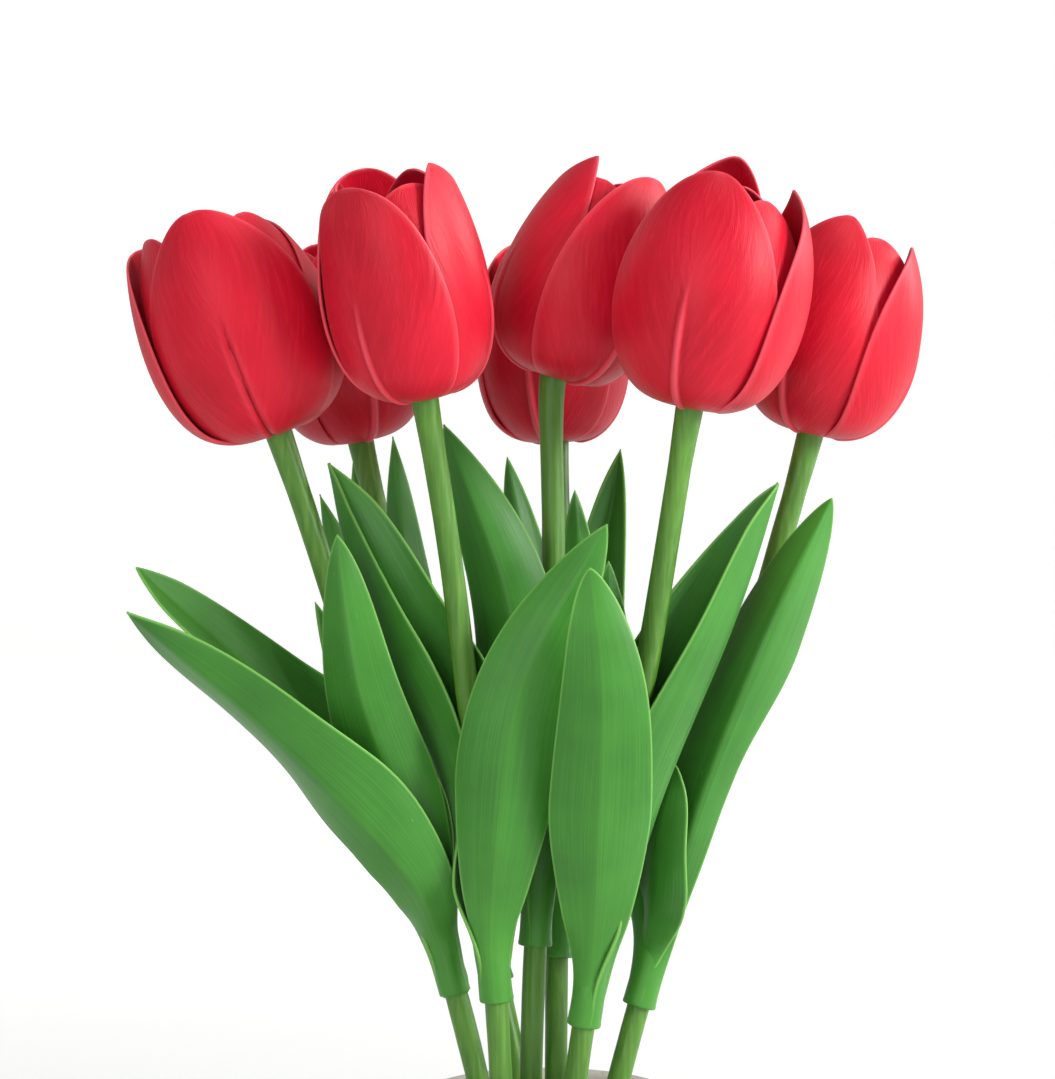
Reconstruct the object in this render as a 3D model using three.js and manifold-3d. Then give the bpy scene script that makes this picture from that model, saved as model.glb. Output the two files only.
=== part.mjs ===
// Seven red tulips standing in a plain ceramic vase. Millimetres, +Z up, +Y to the back.
// The origin is the centre of the vase's flat foot, so z = 0 is the surface that it stands on.
import * as THREE from 'three';
import { mergeVertices } from 'three/addons/utils/BufferGeometryUtils.js';
import Module from 'manifold-3d';

const wasm = await Module();
wasm.setup();

const DEG = Math.PI / 180;
const vec = (x, y, z) => new THREE.Vector3(x, y, z);

// ---------------------------------------------------------------- driving dimensions
const vase = { wall: 3.6, floor: 6, segments: 36, rings: 10 };
// outer wall as [radius, height], from the edge of the foot to the top of the lip
const vaseOutline = [[33, 0], [39, 22], [42, 52], [38, 88], [30.5, 120], [28, 137], [31, 150]];

const stem = { radius: 2.65, sides: 8, steps: 20, bedding: 7, standOff: 0.8 };
const sleeve = { inner: 3.05, outer: 3.75, below: 4, above: 5, sides: 10 };
const petal = {
  thickness: 0.9, neckRadius: 4, shoulder: 24, sag: -1, bellyHeight: 0.67,
  halfAngle: 58, tipStart: 0.3, tipPower: 3, tipRound: 0.55, innerInset: 2.0, across: 4,
};
const petalRows = [0, 0.13, 0.32, 0.52, 0.7, 0.85, 0.95, 1];
const leaf = {
  thickness: 0.8, wrapRadius: 3.45, wrapLength: 24, rise: 9, bladeRadius: 26, foldEnd: 0.4,
  rootShare: 0.36, fullAt: 0.5, tipPower: 4, rows: 10, across: 6,
};

// Each tulip: where its stem stands on the vase's floor, where it passes the mouth, a point halfway up and the
// neck under the head; the head's lean to the right and to the front, how stout it is low down and higher up, and
// the turn of its first petal from the front; its six petals' length, radius at the tip and skew, outer and inner in
// turn; the height of the leaf sleeve, and its leaves. A leaf has two points on its midrib, its tip, the direction
// its hollow side faces, its full width, the angle of its fold and how sharply it is pointed.
const tulips = [
  {
    stem: [[10, -15], [-16.4, -3, 156], [-50.2, -7, 271], [-61.4, -9, 305.4]],
    head: { right: -19.5, front: 2, girth: 1.09, belly: 25, turn: -6 },
    petals: [[53, 13, 0], [50, 12, 0], [46, 14, 0], [51, 10, 0], [49, 16, 0], [51.5, 10, 0]],
    sleeveAt: 179,
    leaves: [
      { ribs: [[-32.4, -24, 207], [-61.2, -31, 238]], tip: [-94, -29, 266], faces: [0.5, 0.8, 0.5], width: 27, fold: 14, point: 0.75 },
      { ribs: [[-36.1, 3, 219], [-64.7, 2, 246]], tip: [-94.8, 0, 273.7], faces: [0.45, -0.6, 0.7], width: 25, fold: 14, point: 0.75 },
      { ribs: [[-31.5, -19, 215], [-42, -25, 247.5]], tip: [-47.5, -21, 282.7], faces: [0.1, 1, 0], width: 22, fold: 10, point: 0.6 },
      { ribs: [[-29, 2, 218], [-45.5, 2, 245.6]], tip: [-53.8, 2, 265.6], faces: [0.2, -1, 0], width: 13, fold: 14, point: 0.7 },
    ],
  },
  {
    stem: [[14, 6], [-7.4, 6, 156], [-40.2, 29, 284], [-44.6, 33, 302]],
    head: { right: -10, front: 4, girth: 0.9, belly: 21, turn: 20 },
    petals: [[48, 11, 0], [47, 10, 0], [48, 11, 0], [47, 9, 0], [48, 11, 0], [47, 10, 0]],
    sleeveAt: 180,
    leaves: [
      { ribs: [[-25.2, 8, 232], [-32.8, 15, 269]], tip: [-36.3, 19, 303], faces: [0.1, 1, 0], width: 18, fold: 30, point: 0.8 },
      { ribs: [[-28.9, 28, 231], [-40.1, 35, 269]], tip: [-46.5, 38, 297], faces: [-0.1, -1, 0], width: 20, fold: 24, point: 0.8 },
      { ribs: [[-32, 12, 233], [-45.4, 15, 265.6]], tip: [-53.3, 16, 289.6], faces: [0.2, 1, 0], width: 17, fold: 20, point: 0.8 },
    ],
  },
  {
    stem: [[-10, -8], [-10.8, -14, 158], [-20.8, -21, 268], [-27.8, -24, 314.3]],
    head: { right: -9.5, front: 8, girth: 0.96, belly: 20, turn: -36 },
    petals: [[49.5, 14.5, 0], [47.5, 8, 0], [51.5, 12, -30], [50, 8, 0], [50, 9, 0], [50, 9, 0]],
    sleeveAt: 180,
    leaves: [
      { ribs: [[-24.2, -10.5, 226], [-40.9, -10, 260.4]], tip: [-50.2, -5, 298], root: [0.6, -0.8, 0], faces: [0.9, -0.4, 0.35], width: 32, fold: 56, point: 0.75 },
      { ribs: [[-10.9, -29, 217], [-5.9, -32, 249]], tip: [13, -28, 285.5], faces: [0.05, 1, 0], width: 26, fold: 8, point: 0.65 },
    ],
  },
  {
    stem: [[-4, 16], [-3.9, -5, 157], [1.2, 1, 275], [1.2, 3, 317.8]],
    head: { right: 17.6, front: 0, girth: 1.03, belly: 19.5, turn: -78 },
    petals: [[51, 8, 35], [46.5, 8, 0], [49.5, 12, 0], [47, 9, 0], [47, 10, 0], [45, 9, 0]],
    sleeveAt: 191,
    leaves: [
      { ribs: [[-5.5, -12, 239.5], [-9.4, -14, 269]], tip: [-23.7, -11, 307], faces: [0.1, 1, 0.1], width: 25, fold: 16, point: 0.7 },
      { ribs: [[8, -9, 230], [14, -7, 255]], tip: [13.8, -5, 275.5], faces: [-0.3, 1, 0], width: 16, fold: 16, point: 0.6 },
    ],
  },
  {
    stem: [[5, 21], [2, 8, 154], [3.5, 33, 263], [2.1, 44, 301]],
    head: { right: -2, front: -4, girth: 0.88, belly: 21, turn: -20 },
    petals: [[48, 11, 0], [47, 10, 0], [48, 11, 0], [47, 9, 0], [48, 11, 0], [47, 10, 0]],
    sleeveAt: 185,
    leaves: [
      { ribs: [[-1.8, 17, 241], [-5.3, 21, 273.7]], tip: [-9.5, 24, 298], faces: [0.1, 1, 0], width: 18, fold: 22, point: 0.7 },
      { ribs: [[6.1, 12, 237], [7.7, 17, 264.6]], tip: [6.4, 20, 290.3], faces: [-0.2, 1, 0], width: 15, fold: 16, point: 0.6 },
      { ribs: [[9.3, 33, 235], [13.7, 44, 272.5]], tip: [17.8, 48, 298.7], faces: [-0.2, -1, 0], width: 20, fold: 20, point: 0.7 },
    ],
  },
  {
    stem: [[-10, -16], [6.4, -13, 158], [23.9, -23, 264], [31.4, -28, 312]],
    head: { right: 11, front: 3, girth: 1.02, belly: 25.5, turn: -18 },
    petals: [[52, 11, 0], [48.5, 7, 0], [51, 13.5, 0], [50, 7, 0], [55.5, 7, -40], [48, 8, 0]],
    sleeveAt: 174,
    leaves: [
      { ribs: [[11.4, -35, 220], [12.1, -42, 250]], tip: [9, -42, 276.8], faces: [0, 1, 0], width: 26, fold: 8, point: 0.5 },
      { ribs: [[25.4, -15.6, 221], [42.2, -15, 262]], tip: [52, -15, 294], faces: [-0.87, -0.37, 0.3], width: 32, fold: 56, point: 0.7 },
    ],
  },
  {
    stem: [[-15, 0], [16.7, -2, 156], [51.1, 7, 269], [61.1, 10, 304.6]],
    head: { right: 12.5, front: 2, girth: 0.94, belly: 23.5, turn: -35 },
    petals: [[50.5, 7, 15], [47.5, 7, 0], [46.5, 13, 0], [47, 7, 0], [47, 9, 0], [46, 7, 0]],
    sleeveAt: 176,
    leaves: [
      { ribs: [[38, -5, 225], [48.3, -4, 256.6]], tip: [64.4, -2, 290], faces: [0.1, 1, 0], width: 27, fold: 40, point: 0.6 },
      { ribs: [[25.5, -9, 203], [27.2, -10, 222]], tip: [32.4, -9, 239.5], faces: [0.4, 1, 0], width: 20, fold: 14, point: 0.55 },
    ],
  },
];

// ---------------------------------------------------------------- materials
const finish = (color, roughness) => new THREE.MeshStandardMaterial({ color, roughness, metalness: 0 });
const ceramic = finish(0xece8df, 0.35);
const stemGreen = finish(0x6f9f3f, 0.5);
const leafGreen = finish(0x4a9140, 0.5);
const outerRed = finish(0xd8213a, 0.5);
const innerRed = finish(0xc4122c, 0.5);

// ---------------------------------------------------------------- shared shape tools
const smooth = (from, to, x) => {
  const t = Math.min(1, Math.max(0, (x - from) / (to - from)));
  return t * t * (3 - 2 * t);
};

// A closed shell round a middle surface: face(u, v) gives a point and its outward normal, for u from -1 to 1
// across and v in rows. The rows never close to a point, so every side has its own strip of faces.
function shell(face, rows, across, thickness) {
  const positions = [];
  const index = [];
  const columns = across + 1;
  for (const side of [1, -1]) {
    for (const v of rows) {
      for (let i = 0; i < columns; i += 1) {
        const { point, normal } = face((2 * i) / across - 1, v);
        positions.push(...point.clone().addScaledVector(normal, (side * thickness) / 2).toArray());
      }
    }
  }
  const layer = rows.length * columns;
  const at = (side, row, column) => side * layer + row * columns + column;
  const quad = (a, b, c, d) => index.push(a, b, c, a, c, d);
  for (let r = 0; r < rows.length - 1; r += 1) {
    for (let c = 0; c < across; c += 1) {
      quad(at(0, r, c), at(0, r, c + 1), at(0, r + 1, c + 1), at(0, r + 1, c));
      quad(at(1, r, c), at(1, r + 1, c), at(1, r + 1, c + 1), at(1, r, c + 1));
    }
    quad(at(0, r, 0), at(0, r + 1, 0), at(1, r + 1, 0), at(1, r, 0));
    quad(at(0, r, across), at(1, r, across), at(1, r + 1, across), at(0, r + 1, across));
  }
  const last = rows.length - 1;
  for (let c = 0; c < across; c += 1) {
    quad(at(0, 0, c), at(1, 0, c), at(1, 0, c + 1), at(0, 0, c + 1));
    quad(at(0, last, c), at(0, last, c + 1), at(1, last, c + 1), at(1, last, c));
  }
  const geometry = new THREE.BufferGeometry();
  geometry.setAttribute('position', new THREE.Float32BufferAttribute(positions, 3));
  geometry.setIndex(index);
  return geometry;
}

function toSolid(geometry) {
  const bare = geometry.clone();
  bare.deleteAttribute('normal');
  bare.deleteAttribute('uv');
  const merged = mergeVertices(bare, 1e-3);
  const mesh = new wasm.Mesh({
    numProp: 3,
    vertProperties: merged.attributes.position.array,
    triVerts: new Uint32Array(merged.index.array),
  });
  return new wasm.Manifold(mesh);
}

function toGeometry(solid) {
  const mesh = solid.getMesh();
  const geometry = new THREE.BufferGeometry();
  geometry.setAttribute('position', new THREE.Float32BufferAttribute(mesh.vertProperties, 3));
  geometry.setIndex(new THREE.BufferAttribute(mesh.triVerts, 1));
  return geometry;
}

// ---------------------------------------------------------------- vase
function vaseGeometry() {
  const outline = new THREE.SplineCurve(vaseOutline.map(([r, z]) => new THREE.Vector2(r, z)));
  const outer = outline.getPoints(vase.rings);
  const top = outer[outer.length - 1];
  const inner = outer.filter((p) => p.y > vase.floor + 4).map((p) => new THREE.Vector2(p.x - vase.wall, p.y));
  const lip = new THREE.Vector2(top.x - vase.wall / 2, top.y + 1.2);
  const floorEdge = new THREE.Vector2(outer[1].x - vase.wall - 3, vase.floor);
  const profile = [new THREE.Vector2(0, 0), ...outer, lip, ...inner.reverse(), floorEdge, new THREE.Vector2(0, vase.floor)];
  return new THREE.LatheGeometry(profile, vase.segments).rotateX(Math.PI / 2);
}

// ---------------------------------------------------------------- stems
const axisOf = ({ right, front }) => vec(Math.tan(right * DEG), -Math.tan(front * DEG), 1).normalize();

// The stem's middle line, from the vase's floor to where it beds in the head.
function stemLine(tulip) {
  const [foot, mouth, middle, neck] = tulip.stem;
  const axis = axisOf(tulip.head);
  const neckPoint = vec(...neck);
  return new THREE.CatmullRomCurve3([
    vec(foot[0], foot[1], vase.floor + stem.standOff),
    vec(...mouth),
    vec(...middle),
    neckPoint,
    neckPoint.clone().addScaledVector(axis, stem.bedding),
  ]);
}

function stemGeometry(tulip) {
  const round = new THREE.Shape().absarc(0, 0, stem.radius, 0, 2 * Math.PI);
  return new THREE.ExtrudeGeometry(round, {
    curveSegments: stem.sides / 2,
    steps: stem.steps,
    extrudePath: stemLine(tulip),
  });
}

// The point and direction of a stem at a height.
function stemAt(line, height) {
  let low = 0;
  let high = 1;
  for (let i = 0; i < 40; i += 1) {
    const half = (low + high) / 2;
    if (line.getPoint(half).z < height) low = half;
    else high = half;
  }
  return { point: line.getPoint(low), direction: line.getTangent(low) };
}

// ---------------------------------------------------------------- leaves
function sleeveSolid(line, height) {
  const { point, direction } = stemAt(line, height);
  const ring = new THREE.Shape().absarc(0, 0, sleeve.outer, 0, 2 * Math.PI);
  ring.holes.push(new THREE.Path().absarc(0, 0, sleeve.inner, 0, 2 * Math.PI, true));
  const path = new THREE.LineCurve3(
    point.clone().addScaledVector(direction, -sleeve.below),
    point.clone().addScaledVector(direction, sleeve.above),
  );
  const options = { curveSegments: sleeve.sides / 2, steps: 1, extrudePath: path };
  return toSolid(new THREE.ExtrudeGeometry(ring, options));
}

// The middle surface of a leaf. At its base it wraps the stem; further up it opens into a folded, hollow blade.
function leafFace(line, height, spec) {
  const { point, direction } = stemAt(line, height);
  const hollow = vec(...spec.faces).normalize();
  const start = vec(...(spec.root ?? spec.faces));
  const inward = start.addScaledVector(direction, -start.dot(direction)).normalize();
  const root = point.clone().addScaledVector(inward, -leaf.wrapRadius);
  const rib = new THREE.CatmullRomCurve3([
    root,
    root.clone().addScaledVector(direction, leaf.rise),
    ...spec.ribs.map((p) => vec(...p)),
    vec(...spec.tip),
  ]);
  const wrapped = leaf.wrapLength / rib.getLength();
  return (u, v) => {
    const tangent = rib.getTangentAt(v);
    const facing = inward.clone().lerp(hollow, smooth(0.15, 0.65, v));
    const normal = facing.addScaledVector(tangent, -facing.dot(tangent)).normalize();
    const side = new THREE.Vector3().crossVectors(normal, tangent);
    const share = THREE.MathUtils.lerp(leaf.rootShare, 1, smooth(0, leaf.fullAt, v));
    const taper = Math.max(0.03, (1 - v ** leaf.tipPower) ** spec.point);
    const half = (share * taper * spec.width) / 2;
    const bend = THREE.MathUtils.lerp(1 / leaf.wrapRadius, 1 / leaf.bladeRadius, smooth(0, wrapped, v));
    const fold = spec.fold * DEG * smooth(0.06, leaf.foldEnd, v);
    const turn = fold + bend * Math.abs(u) * half;
    const out = (Math.sign(u) * (Math.sin(turn) - Math.sin(fold))) / bend;
    const up = (Math.cos(fold) - Math.cos(turn)) / bend;
    const place = rib.getPointAt(v).addScaledVector(side, out).addScaledVector(normal, up);
    const across = u === 0 ? 0 : turn * Math.sign(u);
    const outward = normal.clone().multiplyScalar(-Math.cos(across)).addScaledVector(side, Math.sin(across));
    return { point: place, normal: outward };
  };
}

function leavesGeometry(tulip) {
  const line = stemLine(tulip);
  const rows = Array.from({ length: leaf.rows + 1 }, (_, i) => i / leaf.rows);
  let solid = sleeveSolid(line, tulip.sleeveAt);
  for (const spec of tulip.leaves) {
    solid = solid.add(toSolid(shell(leafFace(line, tulip.sleeveAt, spec), rows, leaf.across, leaf.thickness)));
  }
  return toGeometry(solid);
}

// ---------------------------------------------------------------- petals
// The middle surface of a petal in the head's own frame: +Z along the head, the petal centred on azimuth 0.
function petalFace({ girth, belly }, [length, mouth, skew], inner) {
  const profile = new THREE.CubicBezierCurve(
    new THREE.Vector2(petal.neckRadius, 0),
    new THREE.Vector2(petal.shoulder * girth, petal.sag),
    new THREE.Vector2(belly, petal.bellyHeight * length),
    new THREE.Vector2(mouth, length),
  );
  const inset = inner ? petal.innerInset : 0;
  return (u, v) => {
    const p = profile.getPoint(v);
    const t = profile.getTangent(v);
    const reach = Math.max(0, (v - petal.tipStart) / (1 - petal.tipStart));
    const taper = Math.max(0.03, (1 - reach ** petal.tipPower) ** petal.tipRound);
    const angle = (u * petal.halfAngle * taper + skew * reach * reach) * DEG;
    const radius = p.x - inset * t.y;
    const ahead = vec(Math.cos(angle), Math.sin(angle), 0);
    return {
      point: vec(ahead.x * radius, ahead.y * radius, p.y + inset * t.x),
      normal: vec(ahead.x * t.y, ahead.y * t.y, -t.x),
    };
  };
}

// Turns the head's frame so that +Z is its axis and azimuth 0 is the side towards the front.
function headGroup(tulip) {
  const axis = axisOf(tulip.head);
  const front = vec(0, -1, 0).addScaledVector(axis, axis.y).normalize();
  const right = new THREE.Vector3().crossVectors(axis, front);
  const group = new THREE.Group();
  group.position.set(...tulip.stem[3]);
  group.quaternion.setFromRotationMatrix(new THREE.Matrix4().makeBasis(front, right, axis));
  return group;
}

function head(tulip, number) {
  const group = headGroup(tulip);
  for (let i = 0; i < 6; i += 1) {
    const inner = i % 2 === 1;
    const face = petalFace(tulip.head, tulip.petals[i], inner);
    const geometry = shell(face, petalRows, petal.across, petal.thickness);
    const mesh = new THREE.Mesh(geometry, inner ? innerRed : outerRed);
    mesh.name = `tulip_${number}_${inner ? 'inner' : 'outer'}_petal_${Math.floor(i / 2) + 1}`;
    mesh.rotation.z = (tulip.head.turn + 60 * i) * DEG;
    group.add(mesh);
  }
  return group;
}

// ---------------------------------------------------------------- the whole object
function named(name, geometry, material) {
  const mesh = new THREE.Mesh(geometry, material);
  mesh.name = name;
  return mesh;
}

const bouquet = new THREE.Group();
bouquet.add(named('vase', vaseGeometry(), ceramic));
tulips.forEach((tulip, i) => {
  const number = i + 1;
  bouquet.add(named(`tulip_${number}_stem`, stemGeometry(tulip), stemGreen));
  bouquet.add(named(`tulip_${number}_leaves`, leavesGeometry(tulip), leafGreen));
  bouquet.add(head(tulip, number));
});

export default bouquet;
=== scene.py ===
import bmesh
import bpy
import math
import numpy as np
from mathutils import Matrix, Vector


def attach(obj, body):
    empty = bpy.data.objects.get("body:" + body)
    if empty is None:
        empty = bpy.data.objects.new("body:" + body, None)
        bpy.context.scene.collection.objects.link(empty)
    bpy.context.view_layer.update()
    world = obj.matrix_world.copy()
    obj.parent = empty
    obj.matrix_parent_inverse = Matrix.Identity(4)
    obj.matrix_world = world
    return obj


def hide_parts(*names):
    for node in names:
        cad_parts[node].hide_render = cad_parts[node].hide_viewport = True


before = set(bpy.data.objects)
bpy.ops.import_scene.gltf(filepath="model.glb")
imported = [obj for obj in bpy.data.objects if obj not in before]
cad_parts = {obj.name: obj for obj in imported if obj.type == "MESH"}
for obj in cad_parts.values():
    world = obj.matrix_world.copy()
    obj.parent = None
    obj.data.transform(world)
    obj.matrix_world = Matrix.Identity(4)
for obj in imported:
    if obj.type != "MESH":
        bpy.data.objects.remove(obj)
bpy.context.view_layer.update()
mm = 0.001
rng = np.random.default_rng(7)
print("frame loaded,", len(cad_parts), "CAD nodes")

# The bunch as the part's own drawing has it, in millimetres. A stem runs foot, mouth, middle, neck.
# A petal has its length, the radius at its tip and its skew, outer and inner in turn.
# A leaf has points on its midrib, its tip and the way that its hollow side faces; spread widens its two sides,
# and spreadTop takes over from it at the share of the leaf's length that it names last.
tulips = [
    dict(stem=[(10, -15, 6.8), (-16.4, -3, 156), (-50.2, -7, 271), (-61.4, -9, 305.4)],
         lean=(-19.5, 2), girth=1.09, belly=25, turn=-6, sleeveAt=179, lip=3.2, creased=(0,), pointed=(2,),
         petals=[(53, 13, 0), (50, 12, 0), (46, 14, 0), (51, 10, 0), (49, 17.5, 10), (51, 14, 0)],
         leaves=[
             dict(ribs=[(-32.4, -24, 207), (-61.2, -31, 238)], tip=(-94, -29, 266), root=(0.1, 1, 0.2),
                  faces=(0.5, 0.8, 0.5), width=27, fold=14, point=0.75, spread=(-0.1, 0), spreadTop=(0.5, 0, 0.5)),
             dict(ribs=[(-36.1, 3, 219), (-64.7, 2, 246)], tip=(-94.8, 0, 273.7), faces=(0.45, -0.6, 0.7),
                  width=25, fold=14, point=0.6, spread=(0, 0.35)),
             dict(ribs=[(-31.5, -19, 215), (-42, -25, 247.5)], tip=(-47.5, -21, 282.7), faces=(0.1, 1, 0),
                  width=22, fold=10, point=0.6),
             dict(ribs=[(-29, 2, 218), (-45.5, 2, 245.6)], tip=(-53.8, 2, 265.6), faces=(0.2, -1, 0),
                  width=13, fold=14, point=0.7),
         ]),
    dict(stem=[(14, 6, 6.8), (-7.4, 6, 156), (-40.2, 29, 284), (-44.6, 33, 302)],
         lean=(-10, 4), girth=0.9, belly=21, turn=20, sleeveAt=180,
         petals=[(48, 11, 0), (47, 10, 0), (48, 11, 0), (47, 9, 0), (48, 11, 0), (47, 10, 0)],
         leaves=[
             dict(ribs=[(-25.2, 8, 232), (-32.8, 15, 269)], tip=(-36.3, 19, 303), faces=(0.1, 1, 0),
                  width=18, fold=30, point=0.8),
             dict(ribs=[(-28.9, 28, 231), (-40.1, 35, 269)], tip=(-46.5, 38, 297), faces=(-0.1, -1, 0),
                  width=20, fold=24, point=0.8),
             dict(ribs=[(-32, 12, 233), (-45.4, 15, 265.6)], tip=(-53.3, 16, 289.6), faces=(0.2, 1, 0),
                  width=17, fold=20, point=0.8),
         ]),
    dict(stem=[(-10, -8, 6.8), (-10.8, -14, 158), (-20.8, -21, 268), (-27.8, -24, 314.3)],
         lean=(-9.5, 8), girth=0.96, belly=20, turn=-36, sleeveAt=180, pointed=(2,),
         petals=[(49.5, 14, 0), (48.5, 11.5, 0), (51.5, 12, -30), (50, 10, 0), (50.5, 13, 0), (50, 12, 0)],
         leaves=[
             dict(ribs=[(-24.2, -10.5, 226), (-40.9, -10, 260.4)], tip=(-50.2, -5, 298), root=(0.6, -0.8, 0),
                  faces=(0.9, -0.4, 0.35), width=32, fold=56, point=0.75, spread=(0.55, 0)),
             dict(ribs=[(-10.9, -29, 217), (-5.9, -32, 249)], tip=(13, -28, 285.5), faces=(0.05, 1, 0),
                  width=26, fold=8, point=0.65),
         ]),
    dict(stem=[(-4, 16, 6.8), (-3.9, -5, 157), (1.2, 1, 275), (1.2, 3, 317.8)],
         lean=(17.6, 0), girth=1.03, belly=19.5, turn=-78, sleeveAt=191, lap=-1, pointed=(0,),
         petals=[(51, 8, 35), (46.5, 10, 0), (49.5, 12, 0), (47, 10.5, 0), (47, 10, 0), (45, 9, 0)],
         leaves=[
             dict(ribs=[(-5.5, -12, 239.5), (-9.4, -14, 269)], tip=(-23.7, -11, 307), faces=(0.1, 1, 0.1),
                  width=25, fold=16, point=0.7),
             dict(ribs=[(8, -9, 230), (14, -7, 255)], tip=(13.8, -5, 275.5), faces=(-0.3, 1, 0),
                  width=16, fold=16, point=0.6),
         ]),
    dict(stem=[(5, 21, 6.8), (2, 8, 154), (3.5, 33, 263), (2.1, 44, 301)],
         lean=(-2, -4), girth=0.88, belly=21, turn=-20, sleeveAt=185,
         petals=[(48, 11, 0), (47, 10, 0), (48, 11, 0), (47, 9, 0), (48, 11, 0), (47, 10, 0)],
         leaves=[
             dict(ribs=[(-1.8, 17, 241), (-5.3, 21, 273.7)], tip=(-9.5, 24, 298), faces=(0.1, 1, 0),
                  width=18, fold=22, point=0.7),
             dict(ribs=[(6.1, 12, 237), (7.7, 17, 264.6)], tip=(6.4, 20, 290.3), faces=(-0.2, 1, 0),
                  width=15, fold=16, point=0.6),
             dict(ribs=[(9.3, 33, 235), (13.7, 44, 272.5)], tip=(17.8, 48, 298.7), faces=(-0.2, -1, 0),
                  width=20, fold=20, point=0.7),
         ]),
    dict(stem=[(-10, -16, 6.8), (6.4, -13, 158), (23.9, -23, 264), (31.4, -28, 312)],
         lean=(11, 3), girth=1.02, belly=25.5, turn=-18, sleeveAt=174, lap=-1, pointed=(2,),
         petals=[(52, 11, 0), (48.5, 11, 0), (51, 13.5, 0), (50, 8, 0), (55.5, 7, -40), (48, 9.5, 0)],
         leaves=[
             dict(ribs=[(11.4, -35, 220), (12.1, -42, 250)], tip=(9, -42, 276.8), faces=(0, 1, 0),
                  width=26, fold=8, point=0.5),
             dict(ribs=[(25.4, -15.6, 221), (42.2, -15, 262)], tip=(52, -15, 294), faces=(-0.87, -0.37, 0.3),
                  width=32, fold=56, point=0.7, spread=(0, 0.5)),
         ]),
    dict(stem=[(-15, 0, 6.8), (16.7, -2, 156), (51.1, 7, 269), (61.1, 10, 304.6)],
         lean=(12.5, 2), girth=0.94, belly=23.5, turn=-35, sleeveAt=176, lap=-1,
         petals=[(50.5, 7, 15), (47.5, 10, 0), (46.5, 13, 0), (47, 9, 0), (47, 9, 0), (46, 7, 0)],
         leaves=[
             dict(ribs=[(36.6, -9, 225), (49, -12, 256.6)], tip=(64.8, -6, 290), faces=(0.05, 1, 0),
                  width=27, fold=34, point=0.6, spread=(0.75, -0.42), spreadTop=(0.15, 0.12, 0.58)),
             dict(ribs=[(23.6, -9, 199), (25, -10, 215)], tip=(29.2, -9, 229), faces=(0.8, 0.7, 0),
                  width=19, fold=14, point=0.55),
         ]),
]


def smooth(low, high, x):
    t = np.clip((x - low) / (high - low), 0, 1)
    return t * t * (3 - 2 * t)


def unit(v):
    v = np.asarray(v, float)
    return v / np.linalg.norm(v, axis=-1, keepdims=True)


def splineThrough(points, steps=40):
    # centripetal curve through the points, as a dense polyline
    p = np.asarray(points, float)
    p = np.vstack([2 * p[0] - p[1], p, 2 * p[-1] - p[-2]])
    t = np.linspace(0, 1, steps, endpoint=False)[:, None]
    line = []
    for a, b, c, d in zip(p[:-3], p[1:-2], p[2:-1], p[3:]):
        ab, bc, cd = (math.sqrt(np.linalg.norm(y - x)) for x, y in ((a, b), (b, c), (c, d)))
        leaving = ((b - a) / ab - (c - a) / (ab + bc) + (c - b) / bc) * bc
        reaching = ((c - b) / bc - (d - b) / (bc + cd) + (d - c) / cd) * bc
        line.append(b + leaving * t + (-3 * b + 3 * c - 2 * leaving - reaching) * t ** 2
                    + (2 * b - 2 * c + leaving + reaching) * t ** 3)
    return np.vstack(line + [p[-2:-1]])


def evenly(line, shares):
    # points and directions at these shares of a polyline's length
    run = np.concatenate([[0], np.cumsum(np.linalg.norm(np.diff(line, axis=0), axis=1))])
    at = lambda s: np.stack([np.interp(s * run[-1], run, line[:, k]) for k in range(3)], -1)
    s = np.asarray(shares, float)
    return at(s), unit(at(np.clip(s + 0.004, 0, 1)) - at(np.clip(s - 0.004, 0, 1)))


def headFrame(tulip):
    # neck of the stem, and the head's forward, side and long axes
    right, front = (math.radians(a) for a in tulip["lean"])
    axis = unit((math.tan(right), -math.tan(front), 1))
    forward = unit(np.array((0, -1, 0)) + axis * axis[1])
    return np.array(tulip["stem"][3], float), forward, np.cross(axis, forward), axis


def stemLine(tulip):
    neck, forward, side, axis = headFrame(tulip)
    return splineThrough([*tulip["stem"][:3], neck, neck + axis * 7])


def atHeight(line, height):
    k = int(np.searchsorted(line[:, 2], height))
    share = (height - line[k - 1, 2]) / (line[k, 2] - line[k - 1, 2])
    return line[k - 1] + share * (line[k] - line[k - 1]), unit(line[k] - line[k - 1])


def gridSpacing(count):
    # closer together near both ends, so that rims come out round
    return 0.5 - 0.5 * np.cos(np.linspace(0, math.pi, count))


def bothHalves(count):
    # -1 to 1, closer together at the midline and at both edges
    half = gridSpacing(count + 1)
    return np.concatenate([-half[::-1], half[1:]])


def roundedHalf(fromRim, half):
    # half of the wall's thickness, round at the rim
    near = np.clip(fromRim / half, 0, 1)
    return half * np.sqrt(np.clip(1 - (1 - near) ** 2, 0, 1))


def meshOf(name, points, faces):
    mesh = bpy.data.meshes.new(name)
    mesh.from_pydata(points, [], faces)
    mesh.polygons.foreach_set("use_smooth", np.ones(len(faces), bool))
    return mesh


def fixNormals(mesh):
    work = bmesh.new()
    work.from_mesh(mesh)
    bmesh.ops.recalc_face_normals(work, faces=work.faces)
    work.to_mesh(mesh)
    work.free()


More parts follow.
